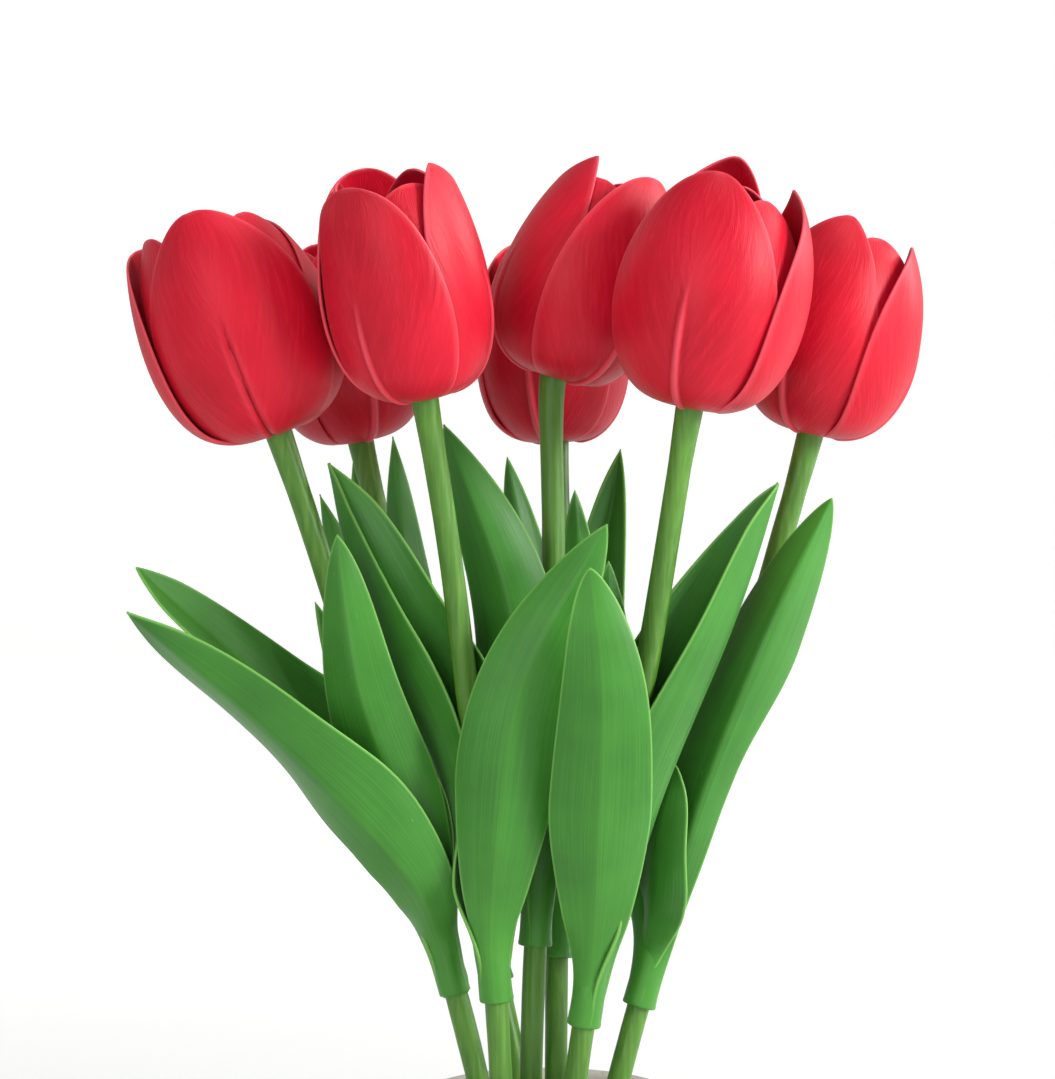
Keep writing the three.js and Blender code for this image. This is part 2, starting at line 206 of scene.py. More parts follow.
def wallShell(name, middle, outward, half, across, along, **marks):
    # closed shell round a middle surface; both skins share the vertices of its rim
    rows, columns = middle.shape[:2]
    front = (middle + outward * half[..., None]) * mm
    back = (middle - outward * half[..., None]) * mm
    edge = np.zeros((rows, columns), bool)
    edge[[0, -1]] = True
    edge[:, [0, -1]] = True
    frontId = np.arange(rows * columns).reshape(rows, columns)
    backId = frontId.copy()
    backId[~edge] = rows * columns + np.arange((~edge).sum())
    front[edge] = (middle * mm)[edge]
    points = np.vstack([front.reshape(-1, 3), back[~edge]])
    quads = lambda g: np.stack([g[:-1, :-1], g[:-1, 1:], g[1:, 1:], g[1:, :-1]], -1).reshape(-1, 4)
    faces = np.vstack([quads(frontId), quads(backId)[:, ::-1]])
    mesh = meshOf(name, points.tolist(), faces.tolist())
    flat = np.stack([across, along], -1)
    layout = np.vstack([flat.reshape(-1, 2), flat[~edge]])
    corner = np.empty(len(mesh.loops), int)
    mesh.loops.foreach_get("vertex_index", corner)
    mesh.uv_layers.new(name="flat").data.foreach_set("uv", layout[corner].ravel())
    for label, values in marks.items():
        both = np.concatenate([values.ravel(), values[~edge]])
        mesh.attributes.new(label, "FLOAT", "POINT").data.foreach_set("value", both)
    mesh.update()
    return mesh


def place(name, mesh, material, slot, *replaced):
    piece = bpy.data.objects.new(name, mesh)
    bpy.context.scene.collection.objects.link(piece)
    mesh.materials.clear()
    mesh.materials.append(material)
    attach(piece, "root")
    if replaced:
        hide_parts(*replaced)


def colour(r, g, b):
    # linear value of a screen colour given in 0 to 255
    line = lambda c: c / 12.92 if c <= 0.04045 else ((c + 0.055) / 1.055) ** 2.4
    return (line(r / 255), line(g / 255), line(b / 255), 1)


def darkened(tint, share):
    return tuple(c * share for c in tint[:3]) + (1,)


def feed(tree, socket, value):
    # links another node's output, or sets a plain value
    if isinstance(value, bpy.types.NodeSocket):
        tree.links.new(value, socket)
    else:
        socket.default_value = value


def nodeAdder(tree):
    def add(kind, values=(), **settings):
        made = tree.nodes.new(kind)
        for key, value in settings.items():
            setattr(made, key, value)
        for key, value in dict(values).items():
            feed(tree, made.inputs[key], value)
        return made

    return add


def shader(name):
    material = bpy.data.materials.new(name)
    material.use_nodes = True
    tree = material.node_tree
    return material, tree.nodes["Principled BSDF"], nodeAdder(tree)


def ramp(add, source, stops):
    made = add("ShaderNodeValToRGB", {"Fac": source})
    elements = made.color_ramp.elements
    while len(elements) < len(stops):
        elements.new(0.5)
    for element, (at, value) in zip(elements, stops):
        element.position = at
        element.color = value if isinstance(value, tuple) else (value, value, value, 1)
    return made.outputs["Color"]


def calc(add, operation, a, b=0.0, clamp=False):
    return add("ShaderNodeMath", {0: a, 1: b}, operation=operation, use_clamp=clamp).outputs[0]


def mixed(add, share, a, b):
    made = add("ShaderNodeMix", data_type="RGBA", blend_type="MIX")
    for socket, value in ((0, share), (6, a), (7, b)):
        feed(made.id_data, made.inputs[socket], value)
    return made.outputs[2]


def noise(add, where, scale, detail, roughness=0.5):
    values = {"Vector": where, "Scale": scale, "Detail": detail, "Roughness": roughness}
    return add("ShaderNodeTexNoise", values).outputs["Fac"]


def mark(add, label):
    return add("ShaderNodeAttribute", attribute_name=label).outputs["Fac"]


def spread(add, u, v, seed, lines, lengthways, shift):
    # a pattern drawn out along the piece, different on each one
    return add("ShaderNodeCombineXYZ", {
        0: calc(add, "MULTIPLY", u, lines), 1: calc(add, "MULTIPLY", v, lengthways),
        2: calc(add, "MULTIPLY", seed, shift)}).outputs[0]


def surfaceSpots(add):
    # across and along the piece, the distance from its midline, its place in space, and a number of its own
    parts = add("ShaderNodeSeparateXYZ", {0: add("ShaderNodeUVMap", uv_map="flat").outputs[0]})
    u, v = parts.outputs["X"], parts.outputs["Y"]
    spot = add("ShaderNodeTexCoord").outputs["Object"]
    seed = add("ShaderNodeObjectInfo").outputs["Random"]
    return u, v, calc(add, "ABSOLUTE", calc(add, "SUBTRACT", u, 0.5)), spot, seed


def finishSurface(surface, add, base, rough, height, strength, distance, **fixed):
    bump = add("ShaderNodeBump", {"Height": height, "Strength": strength, "Distance": distance})
    for socket, value in (("Base Color", base), ("Roughness", rough), ("Normal", bump.outputs[0])):
        feed(surface.id_data, surface.inputs[socket], value)
    for socket, value in fixed.items():
        surface.inputs[socket].default_value = value


petalShape = dict(columns=26, rows=64, half=0.42, neckRadius=4, shoulder=24, sag=-1, bellyHeight=0.67, halfAngle=62,
                  lapAngle=6, tipStart=0.3, innerTipStart=0.42, tipPower=3, tipRound=0.5, pointedTip=0.78, inset=1.4,
                  insetAbove=0.95, overlap=0.6, curl=0.7, ribHeight=0.5, ribWidth=0.58, ribEnd=0.66, ripple=0.3)
# the darkest red is the painted shade in pressed creases and grooves; the rim colour also gives raised ribs a painted
# highlight
petalLook = dict(creaseShade=colour(96, 2, 14), deep=colour(158, 5, 24), main=colour(196, 12, 40), light=colour(220, 32, 60),
                 rim=colour(230, 88, 102), slant=(44.0, 27.0), threads=105.0, cloudScale=42.0, grainScale=1500.0,
                 veinDepth=0.0003, roughness=0.42, specular=0.24, sheen=0.04)


def petalMaterial():
    look = petalLook
    material, surface, add = shader("satinPetal")
    u, v, away, spot, seed = surfaceSpots(add)
    fan, climb = look["slant"]
    slanted = add("ShaderNodeCombineXYZ", {
        0: calc(add, "SUBTRACT", calc(add, "MULTIPLY", away, fan), calc(add, "MULTIPLY", v, climb)),
        1: calc(add, "ADD", calc(add, "MULTIPLY", v, 5.0), calc(add, "MULTIPLY", away, 4.0)),
        2: calc(add, "MULTIPLY", seed, 40.0)}).outputs[0]
    veins = noise(add, slanted, 1.0, 3.0, 0.55)
    threads = noise(add, spread(add, u, v, seed, look["threads"], 2.6, 31.0), 1.0, 2.0)
    cloud = noise(add, spot, look["cloudScale"], 3.0)
    grain = noise(add, spot, look["grainScale"], 2.0, 0.6)
    streaks = calc(add, "ADD", calc(add, "MULTIPLY", veins, 0.75), calc(add, "MULTIPLY", threads, 0.25))
    base = mixed(add, ramp(add, cloud, [(0.3, 0.4), (0.6, 1.0)]), look["deep"], look["main"])
    base = mixed(add, ramp(add, streaks, [(0.48, 0.0), (0.7, 0.4)]), base, look["light"])
    # painted shade: the petal is darker at its foot, where the petals gather under the head
    base = mixed(add, ramp(add, v, [(0.0, 0.5), (0.14, 0.0)]), base, look["deep"])
    welt = mark(add, "welt")  # painted highlight on raised ribs and ridges, painted shade in pressed creases and the grooves beside a rib
    base = mixed(add, calc(add, "MULTIPLY", welt, 0.6, True), base, look["rim"])
    base = mixed(add, calc(add, "MULTIPLY", welt, -0.7, True), base, look["creaseShade"])
    base = mixed(add, ramp(add, mark(add, "fromRim"), [(0.0, 0.75), (0.1, 0.25), (0.3, 0.0)]), base, look["rim"])
    wear = calc(add, "ADD", calc(add, "MULTIPLY", cloud, 0.6), calc(add, "MULTIPLY", streaks, 0.4))
    rough = ramp(add, wear, [(0.3, look["roughness"] - 0.06), (0.7, look["roughness"] + 0.1)])
    height = calc(add, "ADD", calc(add, "MULTIPLY", streaks, 1.0), calc(add, "MULTIPLY", grain, 0.07))
    finishSurface(surface, add, base, rough, height, 0.6, look["veinDepth"], **{
        "Specular IOR Level": look["specular"], "Sheen Weight": look["sheen"], "Sheen Roughness": 0.4,
        "Sheen Tint": (1.0, 0.62, 0.62, 1)})
    return material


def petalMesh(name, tulip, index):
    s = petalShape
    length, mouth, skew = tulip["petals"][index]
    inner = index % 2 == 1
    u, v = np.meshgrid(bothHalves(s["columns"]), gridSpacing(s["rows"]))
    # side view of the petal, from the neck over shoulder and belly to the tip
    corners = np.array([(s["neckRadius"], 0), (s["shoulder"] * tulip["girth"], s["sag"]),
                        (tulip["belly"], s["bellyHeight"] * length), (mouth, length)])
    w = 1 - v
    bend = [w ** 3, 3 * w * w * v, 3 * w * v * v, v ** 3]
    slope = [-3 * w * w, 3 * w * w - 6 * w * v, 6 * w * v - 3 * v * v, 3 * v * v]
    radius, rise = (sum(b * corners[i][k] for i, b in enumerate(bend)) for k in (0, 1))
    dr, dz = (sum(b * corners[i][k] for i, b in enumerate(slope)) for k in (0, 1))
    size = np.hypot(dr, dz)
    dr, dz = dr / size, dz / size
    tipStart = s["innerTipStart"] if inner else s["tipStart"]
    tipRound = s["pointedTip"] if index in tulip.get("pointed", ()) else s["tipRound"]
    reach = np.clip((v - tipStart) / (1 - tipStart), 0, 1)
    taper = np.maximum(0.012, np.clip(1 - reach ** s["tipPower"], 0, 1) ** tipRound)
    lean = np.clip((v - s["tipStart"]) / (1 - s["tipStart"]), 0, 1) ** 2 * skew
    lap = tulip.get("lap", 1)
    reachOut = s["halfAngle"] + (0 if inner else s["lapAngle"]) * smooth(0, 0.5, u * lap)
    angle = np.radians(u * reachOut * taper + lean)
    wide = radius * np.radians(s["halfAngle"]) * taper
    phase = rng.uniform(0, 6.28, 4)
    # push along the outward normal: overlapping sides, rolled lip, midrib and a hand-made unevenness
    push = -(s["inset"] + (s["insetAbove"] - s["inset"]) * smooth(0.3, 0.62, v)) if inner else 0.0
    push = push + s["overlap"] * lap * u * taper * smooth(0.04, 0.3, v) * (0.4 if inner else 1)
    push = push + s["curl"] * smooth(0.7, 1.0, v) * (np.abs(u) ** 3 * 0.8 * taper + 0.35) * rng.uniform(-0.6, 1.0)
    ribHeight = s["ribHeight"] * (0.3 if inner else -1.1 if index in tulip.get("creased", ()) else 1)
    ridge = (np.exp(-(u * wide / s["ribWidth"]) ** 2)
             - 0.3 * np.exp(-((np.abs(u) * wide - 2 * s["ribWidth"]) / s["ribWidth"]) ** 2))
    ridge = ridge * smooth(0.0, 0.05, v) * (1 - smooth(0.45, s["ribEnd"], v))
    push = push + ribHeight * ridge
    wavy = np.sin(5 * v + phase[0]) * np.cos(2.2 * u * taper + phase[1])
    wavy = wavy + 0.7 * np.sin(9 * v + 3 * u * taper + phase[2]) * np.abs(u) * taper
    push = push + s["ripple"] * wavy * smooth(0.05, 0.3, v)
    rise = rise + rng.uniform(0.2, 0.7) * np.sin(u * 4 * taper + phase[3]) * taper * smooth(0.75, 1, v)
    ring = radius + push * dz
    local = np.stack([np.cos(angle) * ring, np.sin(angle) * ring, rise - push * dr], -1)
    fromRim = np.minimum(wide * (1 - np.abs(u)), np.minimum(v, 1 - v) * length * 1.35)
    turn = math.radians(tulip["turn"] + 60 * index)
    neck, forward, side, axis = headFrame(tulip)
    basis = np.stack([forward * math.cos(turn) + side * math.sin(turn),
                      side * math.cos(turn) - forward * math.sin(turn), axis])
    middle = local @ basis + neck
    outward = unit(np.cross(np.gradient(middle, axis=1), np.gradient(middle, axis=0)))
    half = roundedHalf(fromRim, s["half"] * (1 - 0.3 * smooth(0.5, 1, v)))
    return wallShell(name, middle, outward, half, 0.5 + u / 2, v,
                     fromRim=np.clip(fromRim / 5, 0, 1), welt=ridge * ribHeight / s["ribHeight"])


satinPetal = petalMaterial()
for number, tulip in enumerate(tulips, 1):
    for index in range(6):
        ring = "inner" if index % 2 else "outer"
        node = f"tulip_{number}_{ring}_petal_{index // 2 + 1}"
        name = f"tulip{number}.{ring}Petal{index // 2 + 1}"
        place(name, petalMesh(name, tulip, index), satinPetal, "petal", node)
print("petals made")


leafShape = dict(columns=34, rows=90, half=0.42, wrapRadius=3.45, wrapLength=24, rise=9, bladeRadius=26, foldEnd=0.4,
                 rootShare=0.36, fullAt=0.5, tipPower=4, start=3.6, sharper=0.2, crease=0.22, creaseWidth=2.2,
                 wave=0.7, blend=0.14)
leafLook = dict(deep=colour(36, 98, 22), main=colour(58, 132, 36), light=colour(88, 160, 56), rim=colour(116, 176, 78),
                scuff=colour(118, 172, 84), veins=64.0, scuffs=(30.0, 34.0), cloudScale=36.0, grainScale=900.0,
                veinDepth=0.00008, roughness=0.42, specular=0.36, sheen=0.08)
sleeveShape = dict(sides=48, inner=2.9, outer=3.72, lip=3.95, below=4.2, above=6.5)


def leafMaterial():
    look = leafLook
    material, surface, add = shader("satinLeaf")
    u, v, away, spot, seed = surfaceSpots(add)
    veins = noise(add, spread(add, u, v, seed, look["veins"], 3.0, 50.0), 1.0, 3.0)
    cloud = noise(add, spot, look["cloudScale"], 4.0, 0.55)
    grain = noise(add, spot, look["grainScale"], 2.0, 0.6)
    scuff = noise(add, spread(add, u, v, seed, *look["scuffs"], 77.0), 1.0, 4.0, 0.7)
    base = mixed(add, ramp(add, cloud, [(0.32, 0.25), (0.7, 0.95)]), look["deep"], look["main"])
    # painted highlight: the leaf is lighter towards its foot, where the lower blade catches the light
    base = mixed(add, ramp(add, v, [(0.05, 0.2), (0.35, 0.0)]), base, look["light"])
    base = mixed(add, ramp(add, veins, [(0.42, 0.0), (0.72, 0.22)]), base, look["light"])
    base = mixed(add, ramp(add, scuff, [(0.68, 0.0), (0.78, 0.5)]), base, look["scuff"])
    base = mixed(add, ramp(add, away, [(0.0, 0.15), (0.04, 0.0)]), base, look["light"])
    base = mixed(add, ramp(add, mark(add, "fromRim"), [(0.0, 0.85), (0.08, 0.5), (0.14, 0.0)]), base, look["rim"])
    rough = ramp(add, cloud, [(0.3, look["roughness"] - 0.06), (0.7, look["roughness"] + 0.1)])
    height = calc(add, "ADD", calc(add, "MULTIPLY", veins, 0.7), calc(add, "MULTIPLY", grain, 0.25))
    finishSurface(surface, add, base, rough, height, 0.6, look["veinDepth"], **{
        "Specular IOR Level": look["specular"], "Sheen Weight": look["sheen"]})
    return material


def leafMesh(name, tulip, spec):
    s = leafShape
    point, direction = atHeight(stemLine(tulip), tulip["sleeveAt"])
    hollow = unit(spec["faces"])
    start = np.array(spec.get("root", spec["faces"]), float)
    inward = unit(start - direction * start.dot(direction))
    root = point - inward * s["wrapRadius"]
    rib = splineThrough([root, root + direction * s["rise"], *spec["ribs"], spec["tip"]])
    length = np.linalg.norm(np.diff(rib, axis=0), axis=1).sum()
    # the blade starts at the sleeve's lower end
    below = s["start"] / length
    rib = np.vstack([root - direction * s["start"], rib])
    v = gridSpacing(s["rows"]) * (1 + below) - below
    where, tangent = evenly(rib, (v + below) / (1 + below))
    v = np.clip(v, 0, 1)[:, None]
    u = 2 * gridSpacing(s["columns"])[None, :] - 1
    facing = inward + (hollow - inward) * smooth(0.15, 0.65, v)
    normal = unit(facing - tangent * (facing * tangent).sum(-1, keepdims=True))
    side = np.cross(normal, tangent)
    # width of the blade: narrow root, full middle, tapered tip, and its own spread on each side
    share = s["rootShare"] + (1 - s["rootShare"]) * smooth(0, s["fullAt"], v)
    taper = np.maximum(0.02, np.clip(1 - v ** s["tipPower"], 0, 1) ** (spec["point"] + s["sharper"]))
    half = share * taper * spec["width"] / 2
    less, more = spec.get("spread", (0, 0))
    lessTop, moreTop, at = spec.get("spreadTop", (less, more, 0.5))
    upper = smooth(at - s["blend"], at + s["blend"], v)
    less, more = less + (lessTop - less) * upper, more + (moreTop - more) * upper
    half = half * (1 + (less * smooth(0, -0.2, u) + more * smooth(0, 0.2, u)) * smooth(-0.05, 0.2, v))
    # cross-section: wrapped round the stem below, folded and gently hollow above
    bend = 1 / s["wrapRadius"] + (1 / s["bladeRadius"] - 1 / s["wrapRadius"]) * smooth(0, s["wrapLength"] / length, v)
    fold = math.radians(spec["fold"]) * smooth(0.06, s["foldEnd"], v)
    turn = fold + bend * np.abs(u) * half
    out = np.sign(u) * (np.sin(turn) - np.sin(fold)) / bend
    up = (np.cos(fold) - np.cos(turn)) / bend
    phase = rng.uniform(0, 6.28, 3)
    wavy = np.abs(u) ** 2 * np.sin(11 * v + phase[0] + 2 * np.sign(u)) + 0.4 * np.sin(7 * v + 2 * u + phase[1])
    up = up + s["wave"] * smooth(0.2, 0.45, v) * (1 - smooth(0.9, 1, v)) * wavy
    up = up - s["crease"] * np.exp(-(u * half / s["creaseWidth"]) ** 2) * smooth(0.1, 0.3, v) * (1 - smooth(0.85, 1, v))
    middle = where[:, None] + side[:, None] * out[..., None] + normal[:, None] * up[..., None]
    outward = -unit(np.cross(np.gradient(middle, axis=1), np.gradient(middle, axis=0)))
    outward *= np.sign((outward * -normal[:, None]).sum(-1).mean())
    fromRim = np.minimum(half * (1 - np.abs(u)), np.minimum(v + below + 1e-4, 1.0001 - v) * length)
    wall = roundedHalf(fromRim, s["half"] * (1 - 0.25 * smooth(0.1, 0.4, v)) + 0 * u)
    return wallShell(name, middle, outward, wall, 0.5 + u / 2 + 0 * v, v + 0 * u, fromRim=np.clip(fromRim / 5, 0, 1))


def sleeveMesh(name, tulip):
    s = sleeveShape
    point, direction = atHeight(stemLine(tulip), tulip["sleeveAt"])
    lower, upper, inner, outer, sides = -s["below"], s["above"], s["inner"], s["outer"], s["sides"]
    lip = tulip.get("lip", s["lip"])
    section = [(lower + 0.5, inner), (lower + 0.15, inner + 0.06), (lower, lip - 0.2), (lower + 0.1, lip - 0.08),
               (lower + 0.5, lip), (lower + 1.3, (lip + outer) / 2), (lower + 3.2, outer), (0.0, outer - 0.02),
               (upper - 1.2, outer - 0.1), (upper - 0.2, inner + 0.35), (upper, inner + 0.1), (upper - 0.3, inner)]
    first = unit(np.cross(direction, (0.0, 1.0, 0.0)))
    second = np.cross(direction, first)
    angle = np.linspace(0, 2 * math.pi, sides, endpoint=False)
    uneven = 1 + 0.012 * np.sin(3 * angle + rng.uniform(0, 6)) + 0.008 * np.sin(7 * angle + rng.uniform(0, 6))
    spoke = first * np.cos(angle)[:, None] + second * np.sin(angle)[:, None]
    points = np.vstack([point + direction * along + spoke * (radius * uneven)[:, None] for along, radius in section]) * mm
    count = len(section)
    faces = [[a * sides + i, a * sides + (i + 1) % sides, b * sides + (i + 1) % sides, b * sides + i]
             for a, b in zip(range(count), [*range(1, count), 0]) for i in range(sides)]
    mesh = meshOf(name, points.tolist(), faces)
    uvLayer = mesh.uv_layers.new(name="flat")
    for loop in mesh.loops:
        uvLayer.data[loop.index].uv = (0.1 + 0.3 * (loop.vertex_index % sides) / sides, 0.05)
    mesh.attributes.new("fromRim", "FLOAT", "POINT").data.foreach_set("value", np.full(len(points), 1.0))
    mesh.update()
    fixNormals(mesh)
    return mesh


satinLeaf = leafMaterial()
for number, tulip in enumerate(tulips, 1):
    node = f"tulip_{number}_leaves"
    name = f"tulip{number}.sleeve"
    place(name, sleeveMesh(name, tulip), satinLeaf, "leaf", node)
    for index, spec in enumerate(tulip["leaves"], 1):
        name = f"tulip{number}.leaf{index}"
        place(name, leafMesh(name, tulip, spec), satinLeaf, "leaf", node)
print("leaves made")


def growTree(name, inputs):
    # an empty geometry tree with these named inputs, and the ending that every tree needs
    tree = bpy.data.node_groups.new(name, "GeometryNodeTree")
    for label, kind in [("Geometry", "Geometry"), *inputs]:
        tree.interface.new_socket(name=label, in_out="INPUT", socket_type="NodeSocket" + kind)
    tree.interface.new_socket(name="Geometry", in_out="OUTPUT", socket_type="NodeSocketGeometry")
    source, sink = tree.nodes.new("NodeGroupInput"), tree.nodes.new("NodeGroupOutput")
    add = nodeAdder(tree)

    def finish(geometry, material):
        soft = add("GeometryNodeSetShadeSmooth", {0: geometry, "Shade Smooth": True}).outputs[0]
        real = add("GeometryNodeRealizeInstances", {"Geometry": soft}).outputs[0]
        painted = add("GeometryNodeSetMaterial", {"Geometry": real, "Material": material}).outputs[0]
        tree.links.new(painted, sink.inputs[0])
        return tree

    return source.outputs, add, finish


def joined(add, *parts):
    made = add("GeometryNodeJoinGeometry")
    for part in parts:
        made.id_data.links.new(part, made.inputs[0])
    return made.outputs[0]


def grown(name, tree, start, values):
    # runs the tree on a starting object and gives the result as a plain mesh
    holder = bpy.data.objects.new(name + ".start", start)
    bpy.context.scene.collection.objects.link(holder)
    modifier = holder.modifiers.new("grow", "NODES")
    modifier.node_group = tree
    for item in tree.interface.items_tree:
        if item.in_out == "INPUT" and item.name in values:
            modifier[item.identifier] = values[item.name]
    graph = bpy.context.evaluated_depsgraph_get()
    mesh = bpy.data.meshes.new_from_object(holder.evaluated_get(graph), depsgraph=graph)
    mesh.name = name
    holder.modifiers.remove(modifier)
    bpy.data.objects.remove(holder)
    return mesh


def polyline(name, points):
    curve = bpy.data.curves.new(name, "CURVE")
    curve.dimensions = "3D"
    spline = curve.splines.new("POLY")
    spline.points.add(len(points) - 1)
    for target, point in zip(spline.points, points):
        target.co = (*point, 1)
    return curve


stemShape = {"Radius": 2.65 * mm, "Step": 1.5 * mm, "Sides": 28, "Unevenness": 0.09 * mm, "Flare": 0.25}
stemLook = dict(deep=colour(56, 104, 24), main=colour(78, 128, 36), light=colour(104, 152, 56),
                streakScale=(900.0, 900.0, 22.0), cloudScale=55.0, roughness=0.42, specular=0.45)


def stemMaterial():
    look = stemLook
    material, surface, add = shader("smoothStem")
    spot = add("ShaderNodeTexCoord").outputs["Object"]
    drawn = add("ShaderNodeMapping", {"Vector": spot, "Scale": look["streakScale"]}).outputs[0]
    streaks = noise(add, drawn, 1.0, 3.0)
    cloud = noise(add, spot, look["cloudScale"], 3.0, 0.55)
    base = mixed(add, ramp(add, cloud, [(0.3, 0.2), (0.7, 1.0)]), look["deep"], look["main"])
    base = mixed(add, ramp(add, streaks, [(0.42, 0.0), (0.7, 0.6)]), base, look["light"])
    rough = ramp(add, cloud, [(0.3, look["roughness"] - 0.06), (0.7, look["roughness"] + 0.08)])
    finishSurface(surface, add, base, rough, streaks, 0.5, 0.0001, **{"Specular IOR Level": look["specular"]})
    return material


def stemTree(material):
    given, add, finish = growTree("stemAlongPath", [
        ("Radius", "Float"), ("Step", "Float"), ("Sides", "Int"), ("Unevenness", "Float"), ("Flare", "Float")])
    even = {"Curve": given["Geometry"], "Length": given["Step"]}
    path = add("GeometryNodeResampleCurve", even, mode="LENGTH").outputs[0]
    share = add("GeometryNodeSplineParameter").outputs["Factor"]
    top = add("ShaderNodeMapRange", {
        "Value": share, "From Min": 0.94, "From Max": 1.0, "To Min": 0.0, "To Max": given["Flare"]})
    circle = add("GeometryNodeCurvePrimitiveCircle", {"Resolution": given["Sides"], "Radius": given["Radius"]}).outputs[0]
    tube = add("GeometryNodeCurveToMesh", {
        "Curve": path, "Profile Curve": circle, "Fill Caps": True,
        "Scale": calc(add, "ADD", top.outputs[0], 1.0)}).outputs[0]
    bumps = add("ShaderNodeTexNoise", {"Scale": 45.0, "Detail": 2.0}).outputs["Fac"]
    amount = calc(add, "MULTIPLY", calc(add, "MULTIPLY", calc(add, "SUBTRACT", bumps, 0.5), given["Unevenness"]), 4.0)
    normal = add("GeometryNodeInputNormal").outputs[0]
    offset = add("ShaderNodeVectorMath", {0: normal, "Scale": amount}, operation="SCALE").outputs[0]
    return finish(add("GeometryNodeSetPosition", {"Geometry": tube, "Offset": offset}).outputs[0], material)


smoothStem = stemMaterial()
stemMaker = stemTree(smoothStem)
for number, tulip in enumerate(tulips, 1):
    name = f"tulip{number}.stem"
    line, directions = evenly(stemLine(tulip), np.linspace(0, 0.992, 90))
    mesh = grown(name, stemMaker, polyline(name, line * mm), stemShape)
    place(name, mesh, smoothStem, "stem", f"tulip_{number}_stem")
print("stems made")


heartShape = {"Stamens": 6, "Ring": 3.6 * mm, "Filament": 9 * mm, "Anther": 8 * mm, "Lean": 0.16, "Pistil": 13 * mm}
heartLook = dict(pistil=colour(168, 184, 92), anther=colour(46, 26, 40), pistilGrain=700.0, antherGrain=1800.0,
                 above=6.2)


def heartMaterial(name, tint, grainScale):
    material, surface, add = shader(name)
    grain = noise(add, add("ShaderNodeTexCoord").outputs["Object"], grainScale, 3.0)
    base = mixed(add, ramp(add, grain, [(0.35, 0.0), (0.65, 1.0)]), darkened(tint, 0.55), tint)
    finishSurface(surface, add, base, ramp(add, grain, [(0.3, 0.5), (0.7, 0.75)]), grain, 0.7, 0.00015)
    return material


def pistilTree(material):
    given, add, finish = growTree("pistilWithLobes", [("Pistil", "Float")])
    body = add("GeometryNodeMeshCone", {
        "Vertices": 24, "Side Segments": 6, "Radius Top": 1.25 * mm, "Radius Bottom": 1.9 * mm,
        "Depth": given["Pistil"]}).outputs[0]
    ring = add("GeometryNodeMeshCircle", {"Vertices": 3, "Radius": 1.0 * mm}).outputs[0]
    lobe = add("GeometryNodeMeshUVSphere", {"Segments": 16, "Rings": 10, "Radius": 1.35 * mm}).outputs[0]
    flat = add("GeometryNodeTransform", {"Geometry": lobe, "Scale": (1.25, 0.75, 0.62)}).outputs[0]
    where = add("GeometryNodeInputPosition").outputs[0]
    turned = add("FunctionNodeAlignRotationToVector", {"Vector": where}, axis="X").outputs[0]
    lobes = add("GeometryNodeInstanceOnPoints", {"Points": ring, "Instance": flat, "Rotation": turned}).outputs[0]
    top = add("ShaderNodeCombineXYZ", {2: given["Pistil"]}).outputs[0]
    raised = add("GeometryNodeTransform", {"Geometry": lobes, "Translation": top}).outputs[0]
    return finish(joined(add, body, raised), material)


def stamenTree(material):
    given, add, finish = growTree("ringOfStamens", [
        ("Stamens", "Int"), ("Ring", "Float"), ("Filament", "Float"), ("Anther", "Float"), ("Lean", "Float")])
    ring = add("GeometryNodeMeshCircle", {"Vertices": given["Stamens"], "Radius": given["Ring"]}).outputs[0]
    thread = add("GeometryNodeMeshCone", {
        "Vertices": 12, "Side Segments": 4, "Radius Top": 0.35 * mm, "Radius Bottom": 0.6 * mm,
        "Depth": given["Filament"]}).outputs[0]
    ball = add("GeometryNodeMeshUVSphere", {"Segments": 14, "Rings": 12, "Radius": 0.5}).outputs[0]
    antherSize = add("ShaderNodeCombineXYZ", {0: 2.0 * mm, 1: 1.5 * mm, 2: given["Anther"]}).outputs[0]
    anther = add("GeometryNodeTransform", {"Geometry": ball, "Scale": antherSize}).outputs[0]
    height = calc(add, "ADD", given["Filament"], calc(add, "MULTIPLY", given["Anther"], 0.4))
    lift = add("ShaderNodeCombineXYZ", {2: height}).outputs[0]
    antherUp = add("GeometryNodeTransform", {"Geometry": anther, "Translation": lift}).outputs[0]
    where = add("GeometryNodeInputPosition").outputs[0]
    outwards = add("ShaderNodeVectorMath", {0: where}, operation="NORMALIZE").outputs[0]
    leaning = add("ShaderNodeVectorMath", {0: outwards, "Scale": given["Lean"]}, operation="SCALE").outputs[0]
    aim = add("ShaderNodeVectorMath", {0: leaning, 1: (0, 0, 1)}, operation="ADD").outputs[0]
    turned = add("FunctionNodeAlignRotationToVector", {"Vector": aim}, axis="Z").outputs[0]
    one = joined(add, thread, antherUp)
    ringed = add("GeometryNodeInstanceOnPoints", {"Points": ring, "Instance": one, "Rotation": turned}).outputs[0]
    return finish(ringed, material)


pistilGreen = heartMaterial("pistilGreen", heartLook["pistil"], heartLook["pistilGrain"])
antherDark = heartMaterial("antherDark", heartLook["anther"], heartLook["antherGrain"])
pistilMaker, stamenMaker = pistilTree(pistilGreen), stamenTree(antherDark)
for number, tulip in enumerate(tulips, 1):
    neck, forward, side, axis = headFrame(tulip)
    base = neck + axis * heartLook["above"]
    matrix = Matrix([[*(forward[k], side[k], axis[k]), base[k] * mm] for k in range(3)] + [[0, 0, 0, 1]])
    for part, tree, material, slot in (("pistil", pistilMaker, pistilGreen, "stem"),
                                       ("stamens", stamenMaker, antherDark, "petal")):
        name = f"tulip{number}.{part}"
        mesh = grown(name, tree, bpy.data.meshes.new(name + ".empty"), heartShape)
        mesh.transform(matrix)
        place(name, mesh, material, slot)
print("pistils and stamens made")


